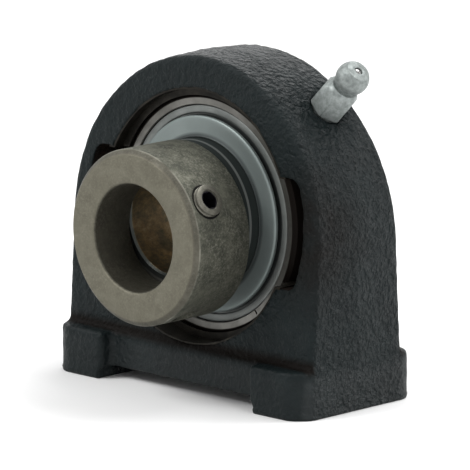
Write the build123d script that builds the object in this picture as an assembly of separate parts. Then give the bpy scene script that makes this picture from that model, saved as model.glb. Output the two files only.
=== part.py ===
from build123d import *
import os
from math import atan2, cos, degrees, radians, sin, sqrt, tan

os.makedirs("parts", exist_ok=True)

# Frame: the shaft runs along Y, the locking collar faces -Y, X is to the right and Z is up.
# The origin lies on the plane of the base, under the middle of the bearing seat.

# Housing
SHAFT_HEIGHT = 33.3
BASE_LENGTH = 65.0
BASE_DEPTH = 32.0
BOLT_SPACING = 50.8
BOLT_HOLE_RADIUS = 3.4
BOLT_HOLE_DEPTH = 13.0
DRILL_POINT_ANGLE = 118.0
FOOT_LENGTH = 13.7
FOOT_HEIGHT = 9.2
FOOT_PROUD = 2.9
FOOT_CORNER = 5.1
FOOT_INNER_CORNER = 1.2
FOOT_WEB_ROUND = 1.2
FOOT_TOP_ROUND = 1.0
RELIEF_HEIGHT = 2.1
RELIEF_MARGIN = 1.2
RELIEF_ROUND = 1.2
ARCH_DROP = 2.1
ARCH_DEPTH = 21.6
ARCH_SIDE_DRAFT = 3.0
ARCH_FACE_DRAFT = 3.6
ARCH_EDGE_ROUND = 1.2
SKIRT_SPREAD = 0.45
SKIRT_BOTTOM = 8.6
SKIRT_HEIGHT = 1.6
SEAT_HALF_WIDTH = 7.6
SEAT_CLEARANCE = 0.03
MOUTH_RADIUS = 23.6
SLOT_RADIUS = 27.6
SLOT_HEIGHT = 20.0
SLOT_CORNER = 2.0
SEAT_GROOVE_WIDTH = 4.4
SEAT_GROOVE_DEPTH = 0.8
GREASE_PASSAGE_RADIUS = 1.25
GREASE_STATION = 2.5

# Grease nipple
NIPPLE_ANGLE = 45.0
NIPPLE_THREAD_RADIUS = 3.0
NIPPLE_HOLE_WALL = 0.45
NIPPLE_END_GAP = 0.5
NIPPLE_FIT = 0.02
NIPPLE_HEX_WIDTH = 6.4
NIPPLE_HEX_TURN = 26.0
NIPPLE_HEX_TOP = 4.0
NIPPLE_HEX_BEVEL = 0.35
NIPPLE_SHOULDER_TOP = 5.9
NIPPLE_SHOULDER_RADIUS = 2.7
NIPPLE_NECK_RADIUS = 2.2
NIPPLE_HEAD_RADIUS = 3.15
NIPPLE_HEAD_CENTRE = 8.45
NIPPLE_TIP_HEIGHT = 10.8
NIPPLE_MOUTH_RADIUS = 0.75
NIPPLE_CHAMBER_RADIUS = 1.35
NIPPLE_CHAMBER_DEPTH = 6.0
NIPPLE_DUCT_RADIUS = 0.75
NIPPLE_LIP = 0.3
NIPPLE_SPOT_DEPTH = 0.5
NIPPLE_SPOT_MARGIN = 0.3
CHECK_BALL_RADIUS = 1.2
CHECK_BALL_GAP = 0.02
SPRING_WIRE_RADIUS = 0.15
SPRING_RADIUS = 0.85
SPRING_TURNS = 5

# Bearing insert
BORE_RADIUS = 10.0
BORE_CHAMFER = 0.4
INNER_RING_HALF_LENGTH = 17.1
INNER_RING_RADIUS = 14.4
INNER_RING_EDGE = 0.4
OUTER_RING_RADIUS = 23.5
OUTER_RING_WIDTH = 14.0
OUTER_RING_EDGE = 0.45
OUTER_LAND_RADIUS = 19.1
SEAL_SEAT_RADIUS = 20.4
SEAL_SEAT_DEPTH = 2.6
RING_NOTCH_ANGLE = -53.0
RING_NOTCH_WIDTH = 0.4
RING_NOTCH_LENGTH = 0.9
RING_NOTCH_DEPTH = 0.3
LUBE_HOLE_RADIUS = 0.6
LUBE_HOLE_OFFSET = 3.9
BALL_COUNT = 8
BALL_RADIUS = 3.969
PITCH_RADIUS = 16.75
RACE_CONFORMITY = 1.04
BALL_CLEARANCE = 0.012
CAGE_INNER_RADIUS = 15.2
CAGE_OUTER_RADIUS = 18.2
CAGE_SHEET = 0.65
CAGE_POCKET_GAP = 0.1
RIVET_RADIUS = 0.5
RIVET_HEAD_RADIUS = 0.9
RIVET_HEAD_HEIGHT = 0.45
RIVET_HEAD_ROUND = 0.25
RIVET_FIT = 0.02

# Seals and flingers
CARRIER_FACE = 6.35
CARRIER_SHEET = 0.35
CARRIER_RIM_RADIUS = 20.15
CARRIER_INNER_RADIUS = 17.4
CARRIER_BEAD_RADIUS = 19.55
CARRIER_BEAD_SIZE = 0.3
CARRIER_FOOT = 0.5
LIP_GAP = 0.06
LIP_BODY = 0.55
LIP_OUTER_RADIUS = 19.3
FLINGER_SHEET = 0.45
FLINGER_HUB_INNER_END = 6.75
FLINGER_HUB_FACE = 8.2
FLINGER_DISH_RADIUS = 16.6
FLINGER_DISH_FACE = 7.75
FLINGER_RIM_FACE = 8.0
FLINGER_RADIUS = 18.5

# Locking collar
COLLAR_RADIUS = 16.5
COLLAR_FRONT = 26.6
COLLAR_REAR = 12.3
COLLAR_BORE_RADIUS = 10.04
COLLAR_FRONT_CHAMFER = 1.0
COLLAR_REAR_CHAMFER = 0.5
COLLAR_BORE_CHAMFER = 0.4
ECCENTRICITY = 0.92
CAM_RADIUS = 13.3
CAM_REAR = 12.0
CAM_FIT = 0.05
CAM_EDGE = 0.4
RECESS_CLEARANCE = 0.3
DRIFT_HOLE_RADIUS = 2.5
DRIFT_HOLE_FRONT = 21.5
DRIFT_HOLE_ANGLE = -60.0
DRIFT_HOLE_DEPTH = 4.0

# Set screw
SCREW_RADIUS = 3.0
SCREW_FIT = 0.03
SCREW_LENGTH = 6.0
SCREW_FRONT = 21.65
SCREW_ANGLE = 30.0
SCREW_TIP_RADIUS = 11.45
SCREW_EDGE = 0.5
SCREW_CUP_RADIUS = 1.5
SCREW_CUP_DEPTH = 0.7
SCREW_SOCKET_WIDTH = 3.0
SCREW_SOCKET_DEPTH = 3.2
SCREW_MOUTH_CHAMFER = 0.35

# Sizes that follow from the ones above
SHAFT_CENTRE = (0, 0, SHAFT_HEIGHT)
SHAFT_AXIS = Axis(SHAFT_CENTRE, (0, 1, 0))
RACE_RADIUS = RACE_CONFORMITY * BALL_RADIUS
OUTER_RACE_CENTRE = PITCH_RADIUS + BALL_RADIUS + BALL_CLEARANCE - RACE_RADIUS
INNER_RACE_CENTRE = PITCH_RADIUS - BALL_RADIUS - BALL_CLEARANCE + RACE_RADIUS
CAM_HEIGHT = SHAFT_HEIGHT - ECCENTRICITY
COLLAR_HEIGHT = CAM_HEIGHT - ECCENTRICITY
WEB_DEPTH = BASE_DEPTH - 2 * FOOT_PROUD
ARCH_RADIUS = BASE_LENGTH / 2
ARCH_CENTRE_HEIGHT = SHAFT_HEIGHT - ARCH_DROP
BALL_STEP = 360 / BALL_COUNT


def nipple_reach():
    """Distance from the shaft axis to the back of the arch, measured along the nipple."""
    radius = ARCH_RADIUS - GREASE_STATION * tan(radians(ARCH_SIDE_DRAFT))
    rise = ARCH_DROP * sin(radians(NIPPLE_ANGLE))
    aside = ARCH_DROP * cos(radians(NIPPLE_ANGLE))
    return sqrt(radius**2 - aside**2) - rise


NIPPLE_REACH = nipple_reach()
DEPTH_TO_GROOVE = NIPPLE_REACH - OUTER_RING_RADIUS - SEAT_GROOVE_DEPTH
NIPPLE_HOLE_DEPTH = DEPTH_TO_GROOVE - NIPPLE_HOLE_WALL
NIPPLE_THREAD_DEPTH = NIPPLE_HOLE_DEPTH - NIPPLE_END_GAP


def rod(radius, start, end, height=SHAFT_HEIGHT):
    """Cylinder along Y between two stations, on an axis at the given height."""
    return Pos(0, (start + end) / 2, height) * Rot(90, 0, 0) * Cylinder(radius, abs(end - start))


def turned(profile, height=SHAFT_HEIGHT):
    """Revolve a profile drawn as (radius, station along Y) about an axis parallel to Y."""
    plane = Plane(origin=(0, 0, height), x_dir=(1, 0, 0), z_dir=(0, 0, 1))
    return revolve(plane * profile, Axis((0, 0, height), (0, 1, 0)), 360)


def outline(*points):
    """Closed flat face through the given points, leaving out repeated ones."""
    corners = [point for index, point in enumerate(points) if point != points[index - 1]]
    return make_face(Polyline(*corners, close=True))


def bevelled(radius, start, end, bevel_start, bevel_end, height=SHAFT_HEIGHT):
    """Rod along Y with a 45 degree bevel on each end."""
    way = 1 if end > start else -1
    return turned(
        outline(
            (0, start),
            (radius - bevel_start, start),
            (radius, start + way * bevel_start),
            (radius, end - way * bevel_end),
            (radius - bevel_end, end),
            (0, end),
        ),
        height,
    )


def radial(height, station, angle):
    """Frame on an axis parallel to Y whose Z points outward at an angle above +X."""
    return Pos(0, station, height) * Rot(0, 90 - angle, 0)


def post(radius, start, end, tip_radius=None):
    """Cylinder, or cone if the tip radius is given, between two heights along Z."""
    place = Pos(0, 0, (start + end) / 2)
    if tip_radius is None:
        return place * Cylinder(radius, end - start)
    return place * Cone(radius, tip_radius, end - start)


def rear_side(shape):
    """Copy of a front piece mirrored to the rear of the bearing."""
    return mirror(shape, Plane.XZ)


# Housing
def arch_half_depth(height):
    """Half depth of the arch between its leaning faces, at a height above the base."""
    return ARCH_DEPTH / 2 + (SHAFT_HEIGHT - height) * tan(radians(ARCH_FACE_DRAFT))


def arch_section(station, bottom):
    """Round-topped outline of the arch, narrower at stations away from the middle."""
    radius = ARCH_RADIUS - abs(station) * tan(radians(ARCH_SIDE_DRAFT))
    height = ARCH_CENTRE_HEIGHT - bottom
    sides = Pos(0, ARCH_CENTRE_HEIGHT - height / 2) * Rectangle(2 * radius, height)
    return Plane.XZ.offset(-station) * (Pos(0, ARCH_CENTRE_HEIGHT) * Circle(radius) + sides)


def arch():
    """Rounded back of the casting, drafted on its sides and on both faces."""
    bottom = -2 * ARCH_EDGE_ROUND
    top = ARCH_CENTRE_HEIGHT + 2 * ARCH_RADIUS
    stations = (-ARCH_DEPTH, 0, ARCH_DEPTH)
    body = loft([arch_section(station, bottom) for station in stations], ruled=True)
    wedge = outline(
        (-arch_half_depth(bottom), bottom),
        (arch_half_depth(bottom), bottom),
        (arch_half_depth(top), top),
        (-arch_half_depth(top), top),
    )
    body &= extrude(Plane.YZ * wedge, 2 * ARCH_RADIUS, both=True)
    faces = body.faces().sort_by(Axis.Y)
    rims = [edge for face in (faces[0], faces[-1]) for edge in face.edges() if edge.center().Z > 0]
    body = fillet(rims, ARCH_EDGE_ROUND)
    return body - Pos(0, 0, bottom) * Box(4 * ARCH_RADIUS, 2 * ARCH_DEPTH, -2 * bottom)


def base():
    """Two feet joined by a narrower web, with rounded corners and top edges."""
    foot_centre = (BASE_LENGTH - FOOT_LENGTH) / 2
    plan = Rectangle(BASE_LENGTH, WEB_DEPTH)
    for side in (-1, 1):
        plan += Pos(side * foot_centre, 0) * Rectangle(FOOT_LENGTH, BASE_DEPTH)
    tips = [v for v in plan.vertices() if abs(abs(v.Y) - BASE_DEPTH / 2) < 0.01]
    outer = [v for v in tips if abs(v.X) > BASE_LENGTH / 2 - 0.01]
    plan = fillet(outer, FOOT_CORNER)
    inner = [v for v in plan.vertices() if abs(abs(v.X) - BASE_LENGTH / 2 + FOOT_LENGTH) < 0.01]
    plan = fillet([v for v in inner if abs(v.Y) > WEB_DEPTH / 2 + 0.01], FOOT_INNER_CORNER)
    inner = [v for v in plan.vertices() if abs(abs(v.X) - BASE_LENGTH / 2 + FOOT_LENGTH) < 0.01]
    plan = fillet([v for v in inner if abs(v.Y) < WEB_DEPTH / 2 + 0.01], FOOT_WEB_ROUND)
    block = extrude(plan, FOOT_HEIGHT)
    return fillet(block.faces().sort_by(Axis.Z)[-1].edges(), FOOT_TOP_ROUND)


def skirt():
    """Sloping blend between the faces of the arch and the top of the base."""
    half_depth = arch_half_depth(SKIRT_BOTTOM + SKIRT_HEIGHT)
    length = 2 * (ARCH_RADIUS - half_depth * tan(radians(ARCH_SIDE_DRAFT)))
    depth = 2 * (half_depth + SKIRT_SPREAD)
    plan = RectangleRounded(length, depth, ARCH_EDGE_ROUND + SKIRT_SPREAD)
    slope = degrees(atan2(SKIRT_SPREAD, SKIRT_HEIGHT))
    return extrude(Pos(0, 0, SKIRT_BOTTOM) * plan, SKIRT_HEIGHT, taper=slope)


def bolt_hole():
    """Blind hole from the base with a drill point."""
    point = BOLT_HOLE_RADIUS / tan(radians(DRILL_POINT_ANGLE / 2))
    hole = post(BOLT_HOLE_RADIUS, -1, BOLT_HOLE_DEPTH)
    hole += post(BOLT_HOLE_RADIUS, BOLT_HOLE_DEPTH, BOLT_HOLE_DEPTH + point, 0)
    return hole


def seat_cut():
    """Room for the insert: spherical seat, two mouths, loading slots and grease groove."""
    sphere = Circle(OUTER_RING_RADIUS + SEAT_CLEARANCE)
    seat = sphere & Pos(OUTER_RING_RADIUS, 0) * Rectangle(2 * OUTER_RING_RADIUS, 2 * SEAT_HALF_WIDTH)
    cut = turned(seat) + rod(MOUTH_RADIUS, -ARCH_DEPTH, -SEAT_HALF_WIDTH)
    cut += rod(MOUTH_RADIUS, SEAT_HALF_WIDTH, ARCH_DEPTH)
    slots = rod(SLOT_RADIUS, -ARCH_DEPTH, 0) & Pos(SHAFT_CENTRE) * Box(
        4 * SLOT_RADIUS, 4 * ARCH_DEPTH, SLOT_HEIGHT
    )
    slots = fillet(slots.edges().filter_by(Axis.Y), SLOT_CORNER)
    groove_start = GREASE_STATION - SEAT_GROOVE_WIDTH / 2
    groove_end = GREASE_STATION + SEAT_GROOVE_WIDTH / 2
    groove = rod(OUTER_RING_RADIUS + SEAT_GROOVE_DEPTH, groove_start, groove_end)
    return cut + slots + groove


def nipple_frame():
    """Frame on the back of the arch, Z pointing out along the nipple."""
    return radial(SHAFT_HEIGHT, GREASE_STATION, NIPPLE_ANGLE) * Pos(0, 0, NIPPLE_REACH)


def housing():
    body = arch() + base() + skirt()
    relief = BASE_LENGTH - 2 * FOOT_LENGTH + 2 * RELIEF_MARGIN
    gap = Box(relief, 2 * BASE_DEPTH, 2 * RELIEF_HEIGHT)
    gap = fillet(gap.edges().filter_by(Axis.Y).group_by(Axis.Z)[-1], RELIEF_ROUND)
    body -= gap
    for side in (-1, 1):
        body -= Pos(side * BOLT_SPACING / 2, 0, 0) * bolt_hole()
    body -= seat_cut()
    spot = NIPPLE_HEX_WIDTH / sqrt(3) + NIPPLE_SPOT_MARGIN
    body -= nipple_frame() * post(spot, -NIPPLE_SPOT_DEPTH, ARCH_RADIUS)
    body -= nipple_frame() * post(NIPPLE_THREAD_RADIUS, -NIPPLE_HOLE_DEPTH, 0)
    passage_end = DEPTH_TO_GROOVE + SEAT_GROOVE_DEPTH / 2
    body -= nipple_frame() * post(GREASE_PASSAGE_RADIUS, -passage_end, 0)
    return body


# Grease nipple
def grease_nipple():
    """Threaded stem, hexagon with a conical shoulder, neck and ball-shaped head."""
    seat = NIPPLE_FIT - NIPPLE_SPOT_DEPTH
    top = NIPPLE_SHOULDER_TOP
    corner = NIPPLE_HEX_WIDTH / sqrt(3)
    stem = post(NIPPLE_THREAD_RADIUS - NIPPLE_FIT, -NIPPLE_THREAD_DEPTH, seat)
    hexagon = extrude(Pos(0, 0, seat) * RegularPolygon(corner, 6, rotation=NIPPLE_HEX_TURN), top - seat)
    limit = post(corner, seat, NIPPLE_HEX_TOP)
    limit = chamfer(limit.edges().filter_by(GeomType.CIRCLE).sort_by(Axis.Z)[0], NIPPLE_HEX_BEVEL)
    limit += post(corner, NIPPLE_HEX_TOP, top, NIPPLE_SHOULDER_RADIUS)
    neck = post(NIPPLE_NECK_RADIUS, seat, NIPPLE_HEAD_CENTRE)
    head = Pos(0, 0, NIPPLE_HEAD_CENTRE) * Sphere(NIPPLE_HEAD_RADIUS)
    head &= post(2 * NIPPLE_HEAD_RADIUS, 0, NIPPLE_TIP_HEIGHT)
    body = stem + (hexagon & limit) + neck + head
    body -= nipple_bore()
    return nipple_frame() * body


def nipple_bore():
    """Mouth, cone seat for the check ball, spring chamber and duct."""
    floor = NIPPLE_TIP_HEIGHT - NIPPLE_CHAMBER_DEPTH
    cone_end = NIPPLE_TIP_HEIGHT - NIPPLE_LIP
    cone_start = cone_end - NIPPLE_CHAMBER_RADIUS + NIPPLE_MOUTH_RADIUS
    bore = post(NIPPLE_DUCT_RADIUS, -NIPPLE_THREAD_DEPTH - 1, floor)
    bore += post(NIPPLE_CHAMBER_RADIUS, floor, cone_start)
    bore += post(NIPPLE_CHAMBER_RADIUS, cone_start, cone_end, NIPPLE_MOUTH_RADIUS)
    bore += post(NIPPLE_MOUTH_RADIUS, cone_end, NIPPLE_TIP_HEIGHT + 1)
    return bore


def check_ball_height():
    """Height of the centre of the check ball when it rests on the 45 degree cone."""
    apex = NIPPLE_TIP_HEIGHT - NIPPLE_LIP + NIPPLE_MOUTH_RADIUS
    return apex - (CHECK_BALL_RADIUS + CHECK_BALL_GAP) * sqrt(2)


def nipple_ball():
    return nipple_frame() * Pos(0, 0, check_ball_height()) * Sphere(CHECK_BALL_RADIUS)


def nipple_spring():
    foot = NIPPLE_TIP_HEIGHT - NIPPLE_CHAMBER_DEPTH + SPRING_WIRE_RADIUS
    reach = sqrt((CHECK_BALL_RADIUS + SPRING_WIRE_RADIUS) ** 2 - SPRING_RADIUS**2)
    top = check_ball_height() - reach - CHECK_BALL_GAP
    length = top - foot
    path = Helix(pitch=length / SPRING_TURNS, height=length, radius=SPRING_RADIUS)
    wire = Plane(origin=path @ 0, z_dir=path % 0) * Circle(SPRING_WIRE_RADIUS)
    coil = sweep(wire, path=path)
    return nipple_frame() * Pos(0, 0, foot) * coil


# Bearing insert
def outer_ring():
    half = OUTER_RING_WIDTH / 2
    face_radius = sqrt(OUTER_RING_RADIUS**2 - half**2) - OUTER_RING_EDGE
    section = Circle(OUTER_RING_RADIUS) & Pos(OUTER_RING_RADIUS, 0) * Rectangle(
        2 * (OUTER_RING_RADIUS - OUTER_LAND_RADIUS), OUTER_RING_WIDTH
    )
    section -= Pos(OUTER_RACE_CENTRE, 0) * Circle(RACE_RADIUS)
    for side in (-1, 1):
        section -= outline(
            (0, side * (half - SEAL_SEAT_DEPTH)),
            (SEAL_SEAT_RADIUS, side * (half - SEAL_SEAT_DEPTH)),
            (SEAL_SEAT_RADIUS, side * 2 * half),
            (0, side * 2 * half),
        )
        section -= outline(
            (face_radius, side * half),
            (face_radius + OUTER_RING_RADIUS, side * half),
            (face_radius + OUTER_RING_RADIUS, side * (half - OUTER_RING_RADIUS)),
        )
    ring = turned(section)
    notch_centre = SEAL_SEAT_RADIUS + RING_NOTCH_LENGTH / 2
    notch = Box(2 * RING_NOTCH_LENGTH, RING_NOTCH_WIDTH, 2 * RING_NOTCH_DEPTH)
    notch = Pos(notch_centre - RING_NOTCH_LENGTH / 2, 0, 0) * notch
    ring -= Pos(0, -half, SHAFT_HEIGHT) * Rot(90, 0, 0) * Rot(0, 0, RING_NOTCH_ANGLE) * notch
    lube_hole = post(LUBE_HOLE_RADIUS, PITCH_RADIUS, 2 * OUTER_RING_RADIUS)
    ring -= radial(SHAFT_HEIGHT, LUBE_HOLE_OFFSET, NIPPLE_ANGLE) * lube_hole
    return ring


def inner_ring():
    end = INNER_RING_HALF_LENGTH
    body = bevelled(INNER_RING_RADIUS, -CAM_REAR, end, INNER_RING_EDGE, INNER_RING_EDGE)
    body += bevelled(CAM_RADIUS, -CAM_REAR + CAM_EDGE, -end, 0, CAM_EDGE, CAM_HEIGHT)
    body -= turned(Pos(INNER_RACE_CENTRE, 0) * Circle(RACE_RADIUS))
    body -= rod(BORE_RADIUS, -2 * end, 2 * end)
    for side in (-1, 1):
        body -= bore_bevel(BORE_RADIUS, BORE_CHAMFER, side * end)
    return body


def bore_bevel(radius, size, station, height=SHAFT_HEIGHT):
    """Entry bevel of a bore along Y whose mouth lies at the given station."""
    way = 1 if station > 0 else -1
    cone = outline(
        (0, station - way * size),
        (radius, station - way * size),
        (radius + 2 * size, station + way * size),
        (0, station + way * size),
    )
    return turned(cone, height)


def ball_frame(number):
    """Frame in the centre of a ball, numbered round the shaft from the top."""
    return radial(SHAFT_HEIGHT, 0, 90 + number * BALL_STEP) * Pos(0, 0, PITCH_RADIUS)


def ball(number):
    return ball_frame(number) * Sphere(BALL_RADIUS)


def cage_band(start, end):
    """Space between the inner and outer rims of the cage."""
    return rod(CAGE_OUTER_RADIUS, start, end) - rod(CAGE_INNER_RADIUS, start - 1, end + 1)


def cage_half():
    """Front half of the pressed ribbon cage: flat bridges between half-round pockets."""
    pocket = BALL_RADIUS + CAGE_POCKET_GAP
    half = cage_band(-CAGE_SHEET, 0)
    for number in range(BALL_COUNT):
        shell = ball_frame(number) * Sphere(pocket + CAGE_SHEET)
        half += shell & cage_band(-2 * pocket, 0)
    for number in range(BALL_COUNT):
        half -= ball_frame(number) * Sphere(pocket)
        half -= rivet_frame(number) * post(RIVET_RADIUS + RIVET_FIT, -pocket, pocket)
    return half


def rivet_frame(number):
    """Frame on a bridge of the cage, Z along the shaft."""
    turn = radial(SHAFT_HEIGHT, 0, 90 + (number + 0.5) * BALL_STEP)
    return turn * Pos(0, 0, PITCH_RADIUS) * Rot(90, 0, 0)


def cage_rivets():
    """One rivet with two rounded heads for every bridge."""
    top = CAGE_SHEET + RIVET_HEAD_HEIGHT
    heads = post(RIVET_HEAD_RADIUS, -top, top)
    heads = fillet(heads.edges().filter_by(GeomType.CIRCLE), RIVET_HEAD_ROUND)
    waist = post(2 * RIVET_HEAD_RADIUS, -CAGE_SHEET, CAGE_SHEET) - post(RIVET_RADIUS, -top, top)
    rivet = heads - waist
    return Compound(children=[rivet_frame(number) * rivet for number in range(BALL_COUNT)])


# Seals and flingers, drawn for the front and mirrored for the rear
def seal_shield():
    """Pressed steel ring: foot in the seat of the outer ring, step and recessed face."""
    foot_face = OUTER_RING_WIDTH / 2 - SEAL_SEAT_DEPTH
    sheet = CARRIER_SHEET
    wall = CARRIER_RIM_RADIUS
    section = outline(
        (wall - sheet, -foot_face),
        (SEAL_SEAT_RADIUS, -foot_face),
        (SEAL_SEAT_RADIUS, -foot_face - CARRIER_FOOT),
        (wall, -foot_face - CARRIER_FOOT),
        (wall, -CARRIER_FACE),
        (CARRIER_INNER_RADIUS, -CARRIER_FACE),
        (CARRIER_INNER_RADIUS, -CARRIER_FACE + sheet),
        (wall - sheet, -CARRIER_FACE + sheet),
    )
    bead = Pos(CARRIER_BEAD_RADIUS, -CARRIER_FACE) * Circle(CARRIER_BEAD_SIZE)
    return turned(section + bead)


def seal_lip():
    """Rubber ring moulded behind the steel ring, tapering to the land of the inner ring."""
    back = CARRIER_FACE - CARRIER_SHEET
    lip = INNER_RING_RADIUS + LIP_GAP
    section = outline(
        (LIP_OUTER_RADIUS, -back),
        (CARRIER_INNER_RADIUS, -back),
        (CARRIER_INNER_RADIUS, -CARRIER_FACE),
        (CARRIER_INNER_RADIUS - LIP_BODY, -CARRIER_FACE),
        (lip + LIP_BODY, -back),
        (lip, -back),
        (lip, -back + LIP_BODY / 2),
        (lip + LIP_BODY, -back + LIP_BODY),
        (LIP_OUTER_RADIUS, -back + LIP_BODY),
    )
    return turned(section)


def flinger():
    """Dished washer pressed on the inner ring, with an inward hub and a rolled rim."""
    sheet = FLINGER_SHEET
    hub = INNER_RING_RADIUS
    bead = sheet * 0.6
    section = outline(
        (hub, -FLINGER_HUB_FACE),
        (hub + sheet, -FLINGER_HUB_FACE),
        (FLINGER_DISH_RADIUS, -FLINGER_DISH_FACE),
        (FLINGER_RADIUS - bead, -FLINGER_RIM_FACE + sheet / 4),
        (FLINGER_RADIUS - bead, -FLINGER_RIM_FACE + sheet),
        (FLINGER_DISH_RADIUS, -FLINGER_DISH_FACE + sheet),
        (hub + sheet, -FLINGER_HUB_FACE + sheet),
        (hub + sheet, -FLINGER_HUB_INNER_END),
        (hub, -FLINGER_HUB_INNER_END),
    )
    rim = Pos(FLINGER_RADIUS - bead, -FLINGER_RIM_FACE + bead) * Circle(bead)
    return turned(section + rim)


# Locking collar
def locking_collar():
    height = COLLAR_HEIGHT
    front = -COLLAR_FRONT
    rear = -COLLAR_REAR
    body = bevelled(COLLAR_RADIUS, rear, front, COLLAR_REAR_CHAMFER, COLLAR_FRONT_CHAMFER, height)
    body -= rod(COLLAR_BORE_RADIUS, 2 * front, 0, height)
    body -= bore_bevel(COLLAR_BORE_RADIUS, COLLAR_BORE_CHAMFER, front, height)
    floor = -INNER_RING_HALF_LENGTH - RECESS_CLEARANCE
    body -= rod(CAM_RADIUS + CAM_FIT, floor, 0, CAM_HEIGHT)
    hole = SCREW_RADIUS + SCREW_FIT
    mouth = COLLAR_RADIUS + SCREW_MOUTH_CHAMFER
    wide = 3 * SCREW_MOUTH_CHAMFER
    screw_way = radial(height, -SCREW_FRONT, SCREW_ANGLE)
    body -= screw_way * post(hole, 0, 2 * COLLAR_RADIUS)
    body -= screw_way * post(hole, mouth - wide, mouth, hole + wide)
    drift_way = radial(height, -DRIFT_HOLE_FRONT, DRIFT_HOLE_ANGLE)
    body -= drift_way * post(DRIFT_HOLE_RADIUS, COLLAR_RADIUS - DRIFT_HOLE_DEPTH, 2 * COLLAR_RADIUS)
    return body


def set_screw():
    """Headless screw with a cup point and a hexagon socket, pointing at the shaft."""
    tip = SCREW_TIP_RADIUS
    end = tip + SCREW_LENGTH
    body = post(SCREW_RADIUS, tip, end)
    body = chamfer(body.edges().filter_by(GeomType.CIRCLE), SCREW_EDGE)
    body -= post(SCREW_CUP_RADIUS, tip - SCREW_CUP_DEPTH, tip + SCREW_CUP_DEPTH, 0)
    socket = RegularPolygon(SCREW_SOCKET_WIDTH / sqrt(3), 6)
    body -= extrude(Pos(0, 0, end - SCREW_SOCKET_DEPTH) * socket, SCREW_SOCKET_DEPTH)
    return radial(COLLAR_HEIGHT, -SCREW_FRONT, SCREW_ANGLE) * body


def save(name, shape):
    shape.label = name
    export_step(shape, f"parts/{name}.step")


save("housing", housing())
save("grease_nipple", grease_nipple())
save("nipple_ball", nipple_ball())
save("nipple_spring", nipple_spring())
save("outer_ring", outer_ring())
save("inner_ring", inner_ring())
for number in range(BALL_COUNT):
    save(f"ball_{number + 1}", ball(number))
save("cage_half_front", cage_half())
save("cage_half_rear", rear_side(cage_half()))
save("cage_rivets", cage_rivets())
save("seal_shield_front", seal_shield())
save("seal_shield_rear", rear_side(seal_shield()))
save("seal_lip_front", seal_lip())
save("seal_lip_rear", rear_side(seal_lip()))
save("flinger_front", flinger())
save("flinger_rear", rear_side(flinger()))
save("locking_collar", locking_collar())
save("set_screw", set_screw())
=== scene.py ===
# %% [markdown]
# # Pillow block bearing
# The object is a cast block that carries a ball bearing insert. The block has two feet with
# tapped holes, a round back and a ball-shaped seat. The insert holds the shaft with an
# eccentric collar and one set screw, and a grease nipple stands on the right shoulder.
# The rigid model is already drawn; this lesson dresses it. Turned parts are spun again from
# their profiles with many more facets, the casting gets a rough painted skin, and every
# surface gets a finish made from noise.

# %% Load the frame
import math

import bmesh
import bpy
from mathutils import Matrix, Vector, noise


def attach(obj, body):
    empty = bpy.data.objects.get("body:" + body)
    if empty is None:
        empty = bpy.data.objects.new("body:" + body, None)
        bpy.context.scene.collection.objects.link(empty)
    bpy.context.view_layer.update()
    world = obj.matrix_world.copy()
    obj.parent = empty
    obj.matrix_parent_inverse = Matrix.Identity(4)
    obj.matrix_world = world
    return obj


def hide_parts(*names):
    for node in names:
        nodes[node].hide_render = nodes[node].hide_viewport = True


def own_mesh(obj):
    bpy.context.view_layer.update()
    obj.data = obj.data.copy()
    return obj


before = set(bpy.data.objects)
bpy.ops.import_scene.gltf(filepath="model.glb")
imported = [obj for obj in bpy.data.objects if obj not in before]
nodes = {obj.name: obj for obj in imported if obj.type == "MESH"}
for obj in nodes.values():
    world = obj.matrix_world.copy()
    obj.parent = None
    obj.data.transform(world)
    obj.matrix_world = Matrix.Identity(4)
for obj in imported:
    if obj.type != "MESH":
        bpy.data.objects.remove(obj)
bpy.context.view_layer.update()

# %% [markdown]
# ## Common sizes
# The rings, the seals and the flingers share the axis of the shaft, which runs along Y. The
# collar faces the negative end. The cam sits lower than the shaft by the eccentricity, and
# the collar sits lower again by the same. Lengths on the part are written in millimetres and
# turned to metres by one factor, so the numbers read like a workshop drawing.

# %% Common sizes
MM = 0.001
SHAFT_HEIGHT = 33.3
ECCENTRICITY = 0.92
CAM_HEIGHT = SHAFT_HEIGHT - ECCENTRICITY
COLLAR_HEIGHT = CAM_HEIGHT - ECCENTRICITY
TURNS = 192
SHAFT_CENTRE = Vector((0, 0, SHAFT_HEIGHT * MM))
print("facets round a turned part", TURNS)

# %% [markdown]
# ## From a bmesh to a piece
# A piece is an object at the origin with its place in its mesh. It rides on one rigid body,
# takes its finish from one material slot and may stand for a node of the rigid model. Edges
# sharper than a given angle stay crisp, all others are shaded smooth.


# %% Make a piece
def make_piece(name, shape, body, finish, stands_for=(), crisp=35):
    mesh = bpy.data.meshes.new(name)
    shape.normal_update()
    shape.to_mesh(mesh)
    shape.free()
    mesh.shade_smooth()
    mesh.set_sharp_from_angle(angle=math.radians(crisp))
    mesh.materials.append(finish)
    piece = bpy.data.objects.new(name, mesh)
    bpy.context.scene.collection.objects.link(piece)
    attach(piece, body)
    if stands_for:
        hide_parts(*stands_for)
    print(name, "faces", len(mesh.polygons))
    return piece


# %% [markdown]
# ## Turning
# A lathe part is one closed profile spun about an axis. The profile is written as pairs of
# radius and station along the shaft. A full spin merges its last ring with its first, and the
# normals are then made to point outwards. Corners get a small round from a bevel, because a
# real edge always catches a line of light.


# %% Turn a profile
def turn(profile, height=SHAFT_HEIGHT, steps=TURNS):
    shape = bmesh.new()
    corners = [shape.verts.new((r * MM, y * MM, height * MM)) for r, y in profile]
    rim = [shape.edges.new((a, b)) for a, b in zip(corners, corners[1:] + corners[:1])]
    bmesh.ops.spin(
        shape,
        geom=corners + rim,
        cent=(0, 0, height * MM),
        axis=(0, 1, 0),
        angle=2 * math.pi,
        steps=steps,
        use_merge=True,
    )
    bmesh.ops.remove_doubles(shape, verts=shape.verts[:], dist=1e-7)
    bmesh.ops.recalc_face_normals(shape, faces=shape.faces[:])
    return shape


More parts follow.
